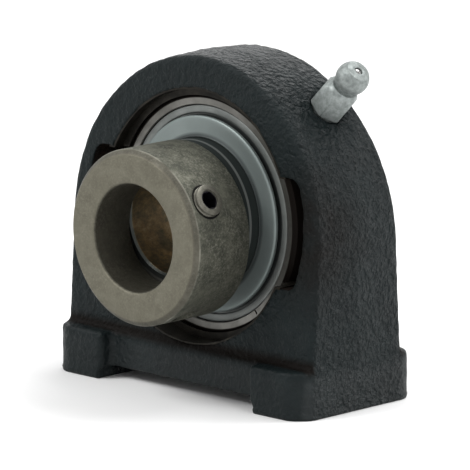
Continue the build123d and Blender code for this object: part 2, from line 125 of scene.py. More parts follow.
def round_edges(shape, width, angle=30, segments=3):
    sharp = [e for e in shape.edges if e.is_manifold and e.calc_face_angle() > math.radians(angle)]
    bmesh.ops.bevel(
        shape,
        geom=sharp,
        offset=width * MM,
        offset_type="OFFSET",
        affect="EDGES",
        segments=segments,
        profile=0.5,
        material=-1,
        clamp_overlap=True,
    )
    return shape


print("lathe ready")


# %% [markdown]
# ## Drilling and joining
# Holes across a turned part need a boolean, and so do two shapes that become one. The tool is
# a second bmesh. Both become short-lived objects, the exact solver subtracts, joins or
# intersects them, and the result comes back as a bmesh with its doubles merged.


# %% Cut or join two shapes
def as_object(name, shape):
    mesh = bpy.data.meshes.new(name)
    shape.to_mesh(mesh)
    shape.free()
    thing = bpy.data.objects.new(name, mesh)
    bpy.context.scene.collection.objects.link(thing)
    return thing


def combine(shape, tool, operation="DIFFERENCE"):
    blank = as_object("blank", shape)
    cutter = as_object("cutter", tool)
    step = blank.modifiers.new("cut", "BOOLEAN")
    step.operation = operation
    step.solver = "EXACT"
    step.object = cutter
    result = bmesh.new()
    result.from_object(blank, bpy.context.evaluated_depsgraph_get())
    for thing in (blank, cutter):
        mesh = thing.data
        bpy.data.objects.remove(thing)
        bpy.data.meshes.remove(mesh)
    bmesh.ops.remove_doubles(result, verts=result.verts[:], dist=2e-7)
    return result


def cylinder(radius, start, end, place, tip=None, steps=64):
    shape = bmesh.new()
    bmesh.ops.create_cone(
        shape,
        cap_ends=True,
        segments=steps,
        radius1=radius * MM,
        radius2=(radius if tip is None else tip) * MM,
        depth=(end - start) * MM,
    )
    middle = Matrix.Translation((0, 0, (start + end) / 2 * MM))
    bmesh.ops.transform(shape, matrix=place @ middle, verts=shape.verts[:])
    return shape


def radial(height, station, angle):
    """Place on the axis whose Z points outwards, at an angle above +X."""
    return Matrix.Translation((0, station * MM, height * MM)) @ Matrix.Rotation(
        math.radians(90 - angle), 4, "Y"
    )


def along_shaft(height):
    """Place whose Z points to the rear along the shaft."""
    return Matrix.Translation((0, 0, height * MM)) @ Matrix.Rotation(math.radians(-90), 4, "X")


print("drilling ready")


# %% [markdown]
# ## Finishes
# All finishes of the part share one recipe: noise in object coordinates mixes a few colours
# and varies the roughness, and a bump breaks the highlight. What differs from steel to paint
# is the scale, the contrast and the metal value. A turned face also shows the feed lines of
# the tool, and those come from the distance to the axis.


# %% Node helpers
class Finish:
    """A material being built, with one short method for each kind of node."""

    def __init__(self, name, metal=0.0, rough=0.5, **extra):
        self.material = bpy.data.materials.new(name)
        self.material.use_nodes = True
        self.tree = self.material.node_tree
        self.shader = self.tree.nodes["Principled BSDF"]
        self.shader.inputs["Metallic"].default_value = metal
        self.shader.inputs["Roughness"].default_value = rough
        for socket, value in extra.items():
            self.shader.inputs[socket.replace("_", " ")].default_value = value
        self.place = self.add("ShaderNodeTexCoord").outputs["Object"]

    def add(self, kind, **settings):
        node = self.tree.nodes.new(kind)
        for key, value in settings.items():
            setattr(node, key, value)
        return node

    def join(self, out, socket):
        self.tree.links.new(out, socket)

    def maths(self, operation, first, second=0.0, third=None):
        node = self.add("ShaderNodeMath", operation=operation)
        for value, socket in zip((first, second, third), node.inputs):
            if isinstance(value, bpy.types.NodeSocket):
                self.join(value, socket)
            elif value is not None:
                socket.default_value = value
        return node.outputs["Value"]

    def product(self, first, *rest):
        """All values multiplied."""
        for value in rest:
            first = self.maths("MULTIPLY", first, value)
        return first

    def ramp(self, out, low, high, start=0.0, end=1.0):
        """Number range low..high read from out between start and end."""
        node = self.add("ShaderNodeMapRange", clamp=True)
        self.join(out, node.inputs["Value"])
        names = ("From Min", "From Max", "To Min", "To Max")
        for socket, value in zip(names, (low, high, start, end)):
            node.inputs[socket].default_value = value
        return node.outputs["Result"]

    def under(self, out, low, high):
        """One below low, zero above high."""
        return self.ramp(out, low, high, 1.0, 0.0)

    def band(self, out, rise, fall):
        """One between two limits; rise and fall say over which stretch each limit fades."""
        return self.product(self.ramp(out, *rise), self.under(out, *fall))

    def fade(self, mask, start, end):
        """Number that goes from start to end as a mask goes from zero to one."""
        return self.ramp(mask, 0.0, 1.0, start, end)

    def colours(self, out, *stops):
        """Colours by position along out."""
        node = self.add("ShaderNodeValToRGB")
        elements = node.color_ramp.elements
        while len(elements) < len(stops):
            elements.new(0.5)
        for element, (position, colour) in zip(elements, stops):
            element.position = position
            element.color = (*colour, 1)
        self.join(out, node.inputs["Fac"])
        return node.outputs["Color"]

    def mix(self, factor, first, second):
        """Colour mix; each input is an output or a plain colour."""
        node = self.add("ShaderNodeMix", data_type="RGBA")
        self.join(factor, node.inputs[0])
        for value, socket in ((first, node.inputs[6]), (second, node.inputs[7])):
            if isinstance(value, bpy.types.NodeSocket):
                self.join(value, socket)
            else:
                socket.default_value = (*value, 1)
        return node.outputs[2]

    def wear(self, colour, rough=None, normal=None):
        """Join colour, roughness and normal to the shader, and hand back the material."""
        for socket, out in (("Base Color", colour), ("Roughness", rough), ("Normal", normal)):
            if out is not None:
                self.join(out, self.shader.inputs[socket])
        return self.material


# %% [markdown]
# ### Patterns and places
# A finish needs patterns, such as noise and tool marks, and it needs to know where on the part
# it is. Both come from object coordinates, so they stay on the part when it moves. All
# distances are given in millimetres.


# %% Patterns and distances
class Surface(Finish):
    """A finish that knows its patterns and the distances on the part."""

    def grain(self, size, detail=3.0, rough=0.5, distort=0.0, where=None):
        """Noise whose blobs are about size millimetres across."""
        node = self.add("ShaderNodeTexNoise")
        node.inputs["Scale"].default_value = 1 / (size * MM)
        node.inputs["Detail"].default_value = detail
        node.inputs["Roughness"].default_value = rough
        node.inputs["Distortion"].default_value = distort
        self.join(where or self.place, node.inputs["Vector"])
        return node.outputs["Fac"]

    def tool_marks(self, away, scale):
        """Circles of a turning tool, from the distance to the axis."""
        node = self.add("ShaderNodeTexNoise", noise_dimensions="1D")
        node.inputs["Scale"].default_value = scale
        self.join(away, node.inputs["W"])
        return node.outputs["Fac"]

    def bump(self, out, depth, after=None):
        """Relief of the given depth in millimetres for a value from 0 to 1."""
        node = self.add("ShaderNodeBump")
        node.inputs["Distance"].default_value = depth * MM
        self.join(out, node.inputs["Height"])
        if after:
            self.join(after, node.inputs["Normal"])
        return node.outputs["Normal"]

    def stretch(self, scale, centre=(0, 0, 0)):
        """Object coordinates, moved to a centre and stretched."""
        node = self.add("ShaderNodeMapping")
        node.inputs["Location"].default_value = [-c * s * MM for c, s in zip(centre, scale)]
        node.inputs["Scale"].default_value = scale
        self.join(self.place, node.inputs["Vector"])
        return node.outputs["Vector"]

    def vector(self, operation, first, second=None):
        node = self.add("ShaderNodeVectorMath", operation=operation)
        self.join(first, node.inputs[0])
        if second is not None:
            node.inputs[1].default_value = second
        return node.outputs["Value" if operation in ("LENGTH", "DISTANCE") else "Vector"]

    def coordinate(self, axis):
        node = self.add("ShaderNodeSeparateXYZ")
        self.join(self.place, node.inputs["Vector"])
        return self.maths("MULTIPLY", node.outputs[axis], 1 / MM)

    def station(self):
        """Station along the shaft."""
        return self.coordinate("Y")

    def height(self):
        """Height above the base."""
        return self.coordinate("Z")

    def radius(self, height):
        """Distance from an axis along Y at the given height."""
        return self.vector("LENGTH", self.stretch((1 / MM, 0, 1 / MM), (0, 0, height)))

    def apart(self, point):
        """Distance from a point."""
        return self.maths("MULTIPLY", self.vector("DISTANCE", self.place, point), 1 / MM)

    def beside(self, place):
        """Distance from the Z axis of a place."""
        away = self.vector("SUBTRACT", self.place, place.translation)
        across = self.vector("CROSS_PRODUCT", away, place.col[2].xyz)
        return self.maths("MULTIPLY", self.vector("LENGTH", across), 1 / MM)


print("finishes ready")

# %% [markdown]
# ### Places on the casting
# One paint covers the whole casting, so each place that differs needs a mask: a number that is
# one there and zero elsewhere. Most masks start from the depth below the leaning faces of the
# block, which is negative on the feet, zero on the faces and positive on the round back.
# They find the bare slots, the crease over the feet, the web between them, the rough outside
# and its crown. Painted light and shade sit on the crease, the web, the feet and the crown,
# and two more spots get painted shade: one beside the right slot, and one on the shoulder
# near the nipple.

# %% Masks on the casting
HALF_DEPTH = 10.8
FACE_LEAN = math.tan(math.radians(3.6))
GREASE_STATION = 2.5
NIPPLE_ANGLE = 45
NIPPLE_REACH = 30.85
# Centre of a spot of painted shade on the face beside the right slot.
SHADE_SPOT = Vector((28.0, -11.0, 33.3)) * MM
CROWN_SPOT = Vector((-10.0, 0.0, 66.0)) * MM
SHOULDER_SPOT = Vector((18.0, -4.0, 60.0)) * MM
nipple_place = radial(SHAFT_HEIGHT, GREASE_STATION, NIPPLE_ANGLE) @ Matrix.Translation(
    (0, 0, NIPPLE_REACH * MM)
)

paint = Surface("cast_paint", rough=0.5, Specular_IOR_Level=0.125)
level = paint.height()
half = paint.maths("MULTIPLY_ADD", level, -FACE_LEAN, HALF_DEPTH + SHAFT_HEIGHT * FACE_LEAN)
below = paint.maths("SUBTRACT", half, paint.maths("ABSOLUTE", paint.station()))
in_slots = paint.under(paint.radius(SHAFT_HEIGHT), 27.8, 28.1)
bare = paint.product(paint.ramp(below, 0.35, 0.6), in_slots)
# Painted shade on the face beside the right slot, in colour and in shine.
shade_spot = paint.product(
    paint.ramp(paint.apart(SHADE_SPOT), 6.0, 15.0, 0.8, 0.0),
    paint.ramp(paint.grain(4.0, 4.0, 0.6), 0.35, 0.6, 0.6, 1.0),
)
over_feet = paint.band(level, (7.9, 9.0), (10.0, 11.4))
# Painted shade in the crease over the feet, in colour and in shine.
crease_shade = paint.product(over_feet, paint.band(below, (-1.3, -0.5), (0.5, 1.2)))
outside = paint.ramp(below, 0.4, 1.6)
# The crown, where the sheen is painted: lighter ridges and a higher specular level as a painted
# highlight.
crown_highlight = paint.product(
    paint.ramp(level, 57.0, 64.0), paint.under(paint.apart(CROWN_SPOT), 10.0, 21.0)
)
# Painted shade on the shoulder beside the nipple, in the specular level.
shoulder_shade = paint.product(paint.under(paint.apart(SHOULDER_SPOT), 6.0, 14.0), outside)
at_feet = paint.under(level, 7.0, 8.2)
# Painted light on the front of the feet, in the specular level.
foot_front_light = paint.product(at_feet, paint.under(below, 0.4, 1.2))
# Painted bounce light from the floor on the web between the feet, in the specular level.
web_bounce_light = paint.product(at_feet, paint.ramp(below, -1.6, -1.0))
print("masks on", paint.material.name)

# %% [markdown]
# ### Painted casting
# Sand-cast iron keeps the grain of the mould. A coat of dark, slightly green grey paint follows
# it, flows off the tips and leaves soft pools, so the skin looks like coarse leather with a
# satin shine. The paint is masked off where the slots were cut: there the iron is bare and
# has gone brown. The crease over the feet and a spot beside the right slot are painted darker
# as shade, and the ridges on the crown are painted lighter as a highlight. Dark paint shows
# itself by its shine more than by its colour, so the masks change the specular level, and this
# too is painted light and shade: lower in the pits of the grain than on its ridges, more on the
# crown as a painted highlight, more on the web as painted bounce light from the floor and more
# on the feet, and less on the painted shade of the crease and the spot, on the shoulder and
# round the foot of the nipple.

# %% Paint for the casting
FACE_SHINE = 0.13
tone = paint.grain(7.0, 4.0, 0.6)
base = paint.colours(tone, (0.3, (0.0038, 0.0066, 0.0071)), (0.7, (0.0064, 0.0107, 0.0113)))
dust = paint.ramp(paint.grain(0.5, 3.0, 0.6), 0.62, 0.75, 0.0, 0.3)
base = paint.mix(dust, base, (0.022, 0.026, 0.028))
scale = paint.grain(2.5, 5.0, 0.7)
rust = paint.colours(scale, (0.3, (0.008, 0.006, 0.0050)), (0.7, (0.022, 0.015, 0.012)))
base = paint.mix(bare, base, rust)
# Painted shade: the crease and the spot beside the right slot are darkened.
base = paint.mix(paint.maths("MAXIMUM", shade_spot, crease_shade), base, (0.0055, 0.0045, 0.0038))
leather = paint.ramp(paint.grain(0.95, 2.0, 0.5, 0.3), 0.3, 0.7)
# Painted highlight: the ridges of the grain on the crown are made lighter.
ridge_highlight = paint.product(paint.ramp(leather, 0.35, 0.9), outside, crown_highlight)
base = paint.mix(ridge_highlight, base, (0.020, 0.023, 0.023))

# Painted light in the specular level: lower in the pits of the grain as painted shade, higher on
# its ridges, and higher on the crown as a painted highlight.
shine = paint.product(paint.ramp(leather, 0.1, 1.0, 0.112, 0.168), paint.fade(crown_highlight, 1.0, 1.6))
extra = paint.maths("SUBTRACT", shine, FACE_SHINE)
# Painted light and shade in the specular level: lower on the shaded spot and crease, on the
# shoulder and round the foot of the nipple, higher on the feet and on the web.
shine = paint.product(
    paint.maths("MULTIPLY_ADD", outside, extra, FACE_SHINE),
    paint.fade(shade_spot, 1.0, 0.6),
    paint.fade(crease_shade, 1.0, 0.35),
    paint.fade(shoulder_shade, 1.0, 0.75),
    # Painted shade round the foot of the nipple.
    paint.ramp(paint.apart(nipple_place.translation), 4.0, 9.0, 0.5, 1.0),
    paint.fade(foot_front_light, 1.0, 1.3),
    paint.fade(web_bounce_light, 1.0, 1.45),
)
paint.join(shine, paint.shader.inputs["Specular IOR Level"])

coarse = paint.product(
    leather, paint.ramp(below, 0.0, 1.2, 0.3, 1.0), paint.fade(bare, 1.0, 0.25)
)
skin = paint.bump(coarse, 0.48)
skin = paint.bump(paint.grain(0.45, 3.0, 0.6), 0.05, after=skin)
satin = paint.ramp(paint.grain(1.6, 3.0), 0.3, 0.7, 0.44, 0.58)
cast_paint = paint.wear(base, paint.maths("MULTIPLY_ADD", outside, -0.13, satin), skin)
print(cast_paint.name)

# %% [markdown]
# ### Bare iron of the seat
# The seat is bored after painting. Bare iron under a film of old grease is nearly black brown
# and shows the fine feed lines of the boring tool. The lines are noise that is stretched round
# the bore and squeezed along it.

# %% Bored iron
iron = Surface("bored_iron", metal=0.3, rough=0.5, Specular_IOR_Level=0.1)
tone = iron.grain(3.0, 5.0, 0.65)
base = iron.colours(
    tone,
    (0.3, (0.008, 0.0072, 0.0058)),
    (0.5, (0.015, 0.0135, 0.0108)),
    (0.7, (0.030, 0.027, 0.021)),
)
lines = iron.grain(1.0, 2.0, 0.5, where=iron.stretch((0.02, 14, 0.02)))
bored_iron = iron.wear(base, iron.ramp(tone, 0.3, 0.7, 0.5, 0.34), iron.bump(lines, 0.02))
print(bored_iron.name)

# %% [markdown]
# ### Ground ring steel
# Bearing rings are hardened and ground. Their faces are light, slightly warm, and carry very
# fine circular lines, with a thin film of grease that darkens some patches. The bore of the
# inner ring was wiped with rust-preventing oil, which has gone olive and orange brown in
# spots. The front lip of the bore is dark with old oil, and the ball-shaped outside is dark
# brown. The neck under the collar is painted dark as the shade between the collar and the
# flinger, and a painted highlight runs as a bright line on the shoulder of the neck. Each of
# these places is told from the rest by its distance from the axis and its station along it.

# %% Ring steel
BORE_RADIUS = 10.0
ring = Surface("ring_steel", metal=0.9, rough=0.38, Specular_IOR_Level=0.02)
away = ring.radius(SHAFT_HEIGHT)
along = ring.station()
in_bore = ring.under(away, BORE_RADIUS + 0.1, BORE_RADIUS + 0.4)
lip = ring.band(away, (BORE_RADIUS + 0.005, BORE_RADIUS + 0.02), (11.2, 11.5))
# Painted shade on the neck of the inner ring, between the collar and the flinger.
neck_shade = ring.product(ring.band(away, (14.0, 14.1), (14.6, 14.7)), ring.under(along, -7.0, -5.0))
# Painted highlight: a bright line on the shoulder of the neck, where its chamfer catches the
# light.
step = ring.product(neck_shade, ring.band(along, (-10.5, -10.4), (-10.05, -9.95)))
barrel = ring.ramp(away, 21.66, 21.78)

tone = ring.grain(5.0, 5.0, 0.65)
base = ring.colours(
    tone,
    (0.3, (0.105, 0.103, 0.094)),
    (0.55, (0.155, 0.152, 0.140)),
    (0.75, (0.21, 0.205, 0.192)),
)
oil = ring.colours(
    ring.grain(2.6, 6.0, 0.78, where=ring.stretch((1, 0.7, 1))),
    (0.36, (0.075, 0.070, 0.050)),
    (0.46, (0.118, 0.106, 0.072)),
    (0.55, (0.205, 0.150, 0.086)),
    (0.68, (0.285, 0.235, 0.150)),
)
base = ring.mix(in_bore, base, oil)
base = ring.mix(ring.fade(lip, 0.0, 0.92), base, (0.034, 0.039, 0.038))
# Painted shade on the neck.
base = ring.mix(neck_shade, base, (0.020, 0.024, 0.023))
# Painted highlight on the shoulder of the neck.
base = ring.mix(step, base, (0.105, 0.112, 0.108))
# The ball-shaped outside of the outer ring is made dark brown.
base = ring.mix(barrel, base, (0.009, 0.0072, 0.0060))
# Less metal on the painted shade of the neck and on the ball-shaped outside.
metal_off_neck_and_barrel = ring.fade(ring.maths("MAXIMUM", neck_shade, barrel), 0.9, 0.0)
ring.join(metal_off_neck_and_barrel, ring.shader.inputs["Metallic"])
marks = ring.bump(ring.tool_marks(away, 18.0), 0.006)
ring_steel = ring.wear(base, ring.ramp(tone, 0.3, 0.7, 0.42, 0.3), marks)
print(ring_steel.name)

# %% [markdown]
# ### Burnished collar
# The collar is plain steel with a thin brown-olive oxide that has worn unevenly: mottled
# patches with light and dark specks, small scratches, and a light line on the outer edge of the
# bevel that is partly bare bright metal where it was touched and partly a painted highlight.
# The turned end face is lighter and more even. The bore and the bevel are painted darker as
# shade, the bevel with a warmer tint. A black line of painted shade stands round the hole of
# the set screw, in the gap between screw and hole.

# %% Places on the collar
COLLAR_RADIUS = 16.5
COLLAR_FRONT = -26.6
COLLAR_BEVEL = 1.0
SCREW_STATION, SCREW_ANGLE = -21.65, 30
screw_place = radial(COLLAR_HEIGHT, SCREW_STATION, SCREW_ANGLE)
screw_mouth = screw_place @ Vector((0, 0, COLLAR_RADIUS * MM))

collar = Surface("collar_steel", metal=0.75, rough=0.45)
away = collar.radius(COLLAR_HEIGHT)
along = collar.station()
end_face = collar.under(along, COLLAR_FRONT + 0.15, COLLAR_FRONT + 0.3)
# Painted shade on the wall of the collar bore.
bore_shade = collar.product(collar.under(away, 12.0, 13.5), collar.fade(end_face, 1.0, 0.0))
# Painted shade on the bevel of the collar, with a warmer tint.
bevel = collar.product(
    collar.ramp(away, COLLAR_RADIUS - COLLAR_BEVEL, COLLAR_RADIUS - COLLAR_BEVEL + 0.1),
    collar.under(along, COLLAR_FRONT + COLLAR_BEVEL - 0.1, COLLAR_FRONT + COLLAR_BEVEL),
)
# A light line on the outer edge of the bevel: part bare worn metal, part painted highlight.
worn_edge_and_highlight = collar.product(
    collar.ramp(away, COLLAR_RADIUS - 0.22, COLLAR_RADIUS - 0.08),
    collar.under(along, COLLAR_FRONT + COLLAR_BEVEL, COLLAR_FRONT + COLLAR_BEVEL + 0.15),
    collar.ramp(collar.grain(5.0, 3.0), 0.42, 0.58, 0.0, 0.8),
)
# Painted shade: a black line round the hole of the set screw, in the gap between screw and hole.
screw_gap_shade = collar.under(collar.apart(screw_mouth), 3.36, 3.44)
print("masks on", collar.material.name)

# %% Collar steel
cloud = collar.grain(3.0, 6.0, 0.7, 0.3)
base = collar.colours(
    cloud,
    (0.28, (0.036, 0.038, 0.030)),
    (0.45, (0.068, 0.070, 0.054)),
    (0.58, (0.096, 0.097, 0.075)),
    (0.75, (0.135, 0.134, 0.108)),
)
fine = collar.grain(0.45, 5.0, 0.75)
patch = collar.ramp(collar.grain(7.0, 3.0, 0.5), 0.4, 0.6, 0.5, 1.0)
light_speck = collar.product(collar.ramp(fine, 0.52, 0.63, 0.0, 0.7), patch)
dark_speck = collar.product(collar.ramp(fine, 0.36, 0.47, 0.65, 0.0), patch)
base = collar.mix(light_speck, base, (0.21, 0.205, 0.172))
base = collar.mix(dark_speck, base, (0.020, 0.020, 0.017))
base = collar.mix(collar.fade(end_face, 0.0, 0.6), base, (0.167, 0.154, 0.116))
base = collar.mix(collar.fade(bore_shade, 0.0, 0.6), base, (0.044, 0.037, 0.026))
base = collar.mix(collar.fade(bevel, 0.0, 0.6), base, (0.088, 0.080, 0.063))
base = collar.mix(worn_edge_and_highlight, base, (0.22, 0.215, 0.180))
base = collar.mix(screw_gap_shade, base, (0.006, 0.006, 0.005))
scratch = collar.grain(1.0, 3.0, 0.6, where=collar.stretch((0.25, 3.0, 0.25)))
relief = collar.bump(scratch, 0.012, after=collar.bump(fine, 0.03))
collar_steel = collar.wear(base, collar.ramp(cloud, 0.3, 0.75, 0.72, 0.52), relief)
print(collar_steel.name)

# %% [markdown]
# ### Zinc of the flinger, the seal sheet and the nipple
# The thin sheet parts are bright zinc plated: cool, satin, and still clean. The groove at the
# hub of the flinger and the inner half of the seal sheet, under the rim of the flinger, are
# painted dark as shade. The nipple has a thicker, dull zinc coat with a crystalline grain.

# %% Zinc finishes
disc = Surface("flinger_zinc", metal=0.65, rough=0.45, Specular_IOR_Level=0.3)
tone = disc.grain(9.0, 3.0, 0.55)
base = disc.colours(tone, (0.3, (0.175, 0.205, 0.200)), (0.7, (0.215, 0.248, 0.240)))
away = disc.radius(SHAFT_HEIGHT)
# Painted shade in the groove at the hub of the flinger, in the shadow of the collar.
hub_groove_shade = disc.fade(disc.under(away, 14.9, 15.5), 0.0, 0.85)
base = disc.mix(hub_groove_shade, base, (0.016, 0.019, 0.019))
marks = disc.bump(disc.tool_marks(away, 9.0), 0.003)
flinger_zinc = disc.wear(base, disc.ramp(tone, 0.3, 0.7, 0.56, 0.48), marks)

sheet = Surface("seal_sheet", metal=0.6, rough=0.45)
tone = sheet.grain(5.0, 4.0, 0.6)
base = sheet.colours(tone, (0.3, (0.135, 0.146, 0.140)), (0.7, (0.195, 0.207, 0.198)))
# Painted shade on the inner half of the seal sheet, under the rim of the flinger.
under_rim_shade = sheet.under(sheet.radius(SHAFT_HEIGHT), 18.5, 18.75)
base = sheet.mix(under_rim_shade, base, (0.045, 0.050, 0.049))
rolled = sheet.bump(sheet.grain(0.4), 0.008)
seal_sheet = sheet.wear(base, sheet.ramp(tone, 0.3, 0.7, 0.55, 0.42), rolled)

dull = Surface("nipple_zinc", metal=0.5, rough=0.6)
tone = dull.grain(0.9, 4.0, 0.65)
base = dull.colours(tone, (0.3, (0.136, 0.154, 0.149)), (0.7, (0.290, 0.317, 0.308)))
crystals = dull.bump(dull.grain(0.25, 4.0, 0.7), 0.015)
nipple_zinc = dull.wear(base, dull.ramp(tone, 0.3, 0.7, 0.6, 0.42), crystals)
print(flinger_zinc.name, seal_sheet.name, nipple_zinc.name)

# %% [markdown]
# ### Small parts
# The set screw is black oxidised steel whose hexagon socket is painted dark as shade, the
# lips are nitrile rubber, and the balls and the cage inside are clean bearing steel and pressed
# sheet. All four follow one plain recipe: the same noise gives the colour, the roughness and
# the relief.


# %% Black oxide, rubber, ball steel and cage sheet
def plain_finish(surface, tone, base, dull, bright, depth):
    return surface.wear(
        base, surface.ramp(tone, 0.3, 0.7, dull, bright), surface.bump(tone, depth)
    )


SOCKET_RADIUS = 1.732
black = Surface("screw_oxide", metal=0.7, rough=0.42)
tone = black.grain(0.8, 5.0, 0.7)
base = black.colours(tone, (0.3, (0.080, 0.077, 0.062)), (0.75, (0.160, 0.154, 0.128)))
# Painted shade in the hexagon socket of the set screw.
socket_shade = black.under(black.beside(screw_place), SOCKET_RADIUS + 0.008, SOCKET_RADIUS + 0.068)
base = black.mix(socket_shade, base, (0.008, 0.007, 0.010))
screw_oxide = plain_finish(black, tone, base, 0.5, 0.35, 0.01)

nitrile = Surface("nitrile_rubber", rough=0.6)
tone = nitrile.grain(1.5, 4.0, 0.6)
base = nitrile.colours(tone, (0.3, (0.012, 0.012, 0.012)), (0.7, (0.03, 0.029, 0.028)))
nitrile_rubber = plain_finish(nitrile, tone, base, 0.7, 0.5, 0.01)

polish = Surface("ball_steel", metal=1.0, rough=0.12)
tone = polish.grain(3.0, 4.0, 0.6)
base = polish.colours(tone, (0.3, (0.20, 0.20, 0.20)), (0.7, (0.27, 0.27, 0.265)))
ball_steel = plain_finish(polish, tone, base, 0.16, 0.08, 0.001)

ribbon = Surface("cage_sheet", metal=1.0, rough=0.36)
tone = ribbon.grain(1.5, 5.0, 0.65)
base = ribbon.colours(tone, (0.3, (0.36, 0.35, 0.33)), (0.7, (0.55, 0.54, 0.52)))
cage_sheet = plain_finish(ribbon, tone, base, 0.45, 0.3, 0.008)
print(screw_oxide.name, nitrile_rubber.name, ball_steel.name, cage_sheet.name)

# %% [markdown]
# ## Casting
# The casting starts from a copy of its rigid solid. The bore for the insert is opened a
# hair, so that a bored liner of bare iron can show its crisp edges there. A voxel remesh then
# turns the loose triangles into an even skin, which two rounds of smoothing calm.


# %% Even skin
def copy_of(node):
    shape = bmesh.new()
    shape.from_mesh(nodes[node].data)
    bmesh.ops.remove_doubles(shape, verts=shape.verts[:], dist=1e-6)
    return shape


def even_skin(shape, cell):
    blank = as_object("blank", shape)
    step = blank.modifiers.new("skin", "REMESH")
    step.mode = "VOXEL"
    step.voxel_size = cell * MM
    result = bmesh.new()
    result.from_object(blank, bpy.context.evaluated_depsgraph_get())
    mesh = blank.data
    bpy.data.objects.remove(blank)
    bpy.data.meshes.remove(mesh)
    return result


SKIN_CELL = 0.46
OPENED_RADIUS = 23.8
opening = cylinder(OPENED_RADIUS, -20, 20, along_shaft(SHAFT_HEIGHT), steps=128)
casting_shape = even_skin(combine(copy_of("housing"), opening), SKIN_CELL)
for _ in range(2):
    bmesh.ops.smooth_vert(
        casting_shape,
        verts=casting_shape.verts[:],
        factor=0.5,
        use_axis_x=True,
        use_axis_y=True,
        use_axis_z=True,
    )
casting_shape.normal_update()
print("points on the skin", len(casting_shape.verts))

# %% [markdown]
# ### Sand grain
# Each point then moves inwards by a little noise: low swells first, then the pits of the sand
# and its grit. The leaning faces come out of the mould smoother than the round back. The
# bore keeps its shape, and the sole stays flat, because both are machined.

# %% Rough skin
SOLE_EDGE = 0.8
MACHINED_RADIUS = 24.4
FACE_ROUGHNESS = 0.35


def hollow(point, size, shift=(0, 0, 0)):
    """Depth from 0 to 2 of noise whose blobs are about size millimetres across."""
    return 1 - noise.noise(point / size + Vector(shift))


for vert in casting_shape.verts:
    point = vert.co / MM
    if point.z < SOLE_EDGE or math.hypot(point.x, point.z - SHAFT_HEIGHT) < MACHINED_RADIUS:
        continue
    rough = FACE_ROUGHNESS + (1 - FACE_ROUGHNESS) * (1 - abs(vert.normal.y))
    sand = 0.16 * hollow(point, 1.6, (7, 3, 1)) + 0.04 * hollow(point, 0.9, (2, 9, 4))
    vert.co -= vert.normal * (0.05 * hollow(point, 8.0) + rough * sand) * MM
for vert in casting_shape.verts:
    vert.co.z = max(vert.co.z, 0.0)
make_piece(
    "casting_skin", casting_shape, "housing_body", cast_paint, ["housing"], 180
)

# %% [markdown]
# ### Bored liner
# The liner is the machined surface of the casting: a mouth on each side, a narrow shoulder,
# the ball-shaped seat and the grease groove behind the middle. It is turned as a thin shell.
# A block with the same leaning faces as the casting trims it just below the paint, and the
# loading slots are cut out of its front half.


# %% Profile of the seat
def arc(radius, start, end, count):
    """Points of the seat sphere between two stations."""
    stations = [start + (end - start) * i / count for i in range(count + 1)]
    return [(math.sqrt(radius**2 - y**2), y) for y in stations]


MOUTH_RADIUS = 23.6
SEAT_RADIUS = 23.53
SEAT_HALF = 7.6
GROOVE_RADIUS = 24.3
GROOVE_FRONT, GROOVE_REAR = 0.3, 4.7
LINER_RADIUS = 24.9
LINER_HALF = 14.0
liner_profile = [
    (MOUTH_RADIUS, -LINER_HALF),
    (MOUTH_RADIUS, -SEAT_HALF),
    *arc(SEAT_RADIUS, -SEAT_HALF, GROOVE_FRONT, 16),
    (GROOVE_RADIUS, GROOVE_FRONT),
    (GROOVE_RADIUS, GROOVE_REAR),
    *arc(SEAT_RADIUS, GROOVE_REAR, SEAT_HALF, 6),
    (MOUTH_RADIUS, SEAT_HALF),
    (MOUTH_RADIUS, LINER_HALF),
    (LINER_RADIUS, LINER_HALF),
    (LINER_RADIUS, -LINER_HALF),
]
print("corners of the liner", len(liner_profile))


# %% Seat liner
SLOT_HEIGHT = 20.0
LINER_INSET = 0.25


def leaning_block(inset):
    """Block whose faces lie a little below the leaning faces of the casting."""
    shape = bmesh.new()
    for z in (0.0, 66.0):
        half = HALF_DEPTH + (SHAFT_HEIGHT - z) * FACE_LEAN - inset
        for x in (-40, 40):
            for y in (-half, half):
                shape.verts.new(Vector((x, y, z)) * MM)
    bmesh.ops.convex_hull(shape, input=shape.verts[:])
    return shape


def box(size, centre):
    shape = bmesh.new()
    bmesh.ops.create_cube(shape, size=1.0)
    bmesh.ops.scale(shape, vec=Vector(size) * MM, verts=shape.verts[:])
    bmesh.ops.translate(shape, vec=Vector(centre) * MM, verts=shape.verts[:])
    return shape


liner_shape = combine(turn(liner_profile), leaning_block(LINER_INSET), "INTERSECT")
slots = box((70, LINER_HALF, SLOT_HEIGHT), (0, -LINER_HALF / 2, SHAFT_HEIGHT))
liner_shape = combine(liner_shape, slots)
make_piece("seat_liner", liner_shape, "housing_body", bored_iron, ["housing"])

# %% [markdown]
# ## Rings of the insert
# The outer ring is a barrel: a sphere outside, a raceway inside, and a stepped seat for the
# seal at each face. A small notch is cut in its front face, and a hole beside the raceway
# lets in the grease from the groove of the seat. The inner ring is longer than the outer one
# and carries the eccentric cam for the collar at its front end. The ends of both rings are
# broken by small chamfers.

# %% Outer ring
OUTER_RADIUS = 23.5
OUTER_HALF = 7.0
RACE_RADIUS = 4.128
OUTER_RACE, INNER_RACE = 16.603, 16.897
NOTCH_SIZE = (1.3, 0.6, 0.42)
NOTCH_RADIUS, NOTCH_ANGLE = 20.75, 53
RING_HOLE_RADIUS, RING_HOLE_STATION = 0.6, 3.9


def raceway(centre, side):
    """Raceway of the balls, hollow towards the outside (1) or the axis (-1)."""
    angles = [math.radians(a) for a in range(48 * side, -49 * side, -8 * side)]
    return [
        (centre + side * RACE_RADIUS * math.cos(a), RACE_RADIUS * math.sin(a)) for a in angles
    ]


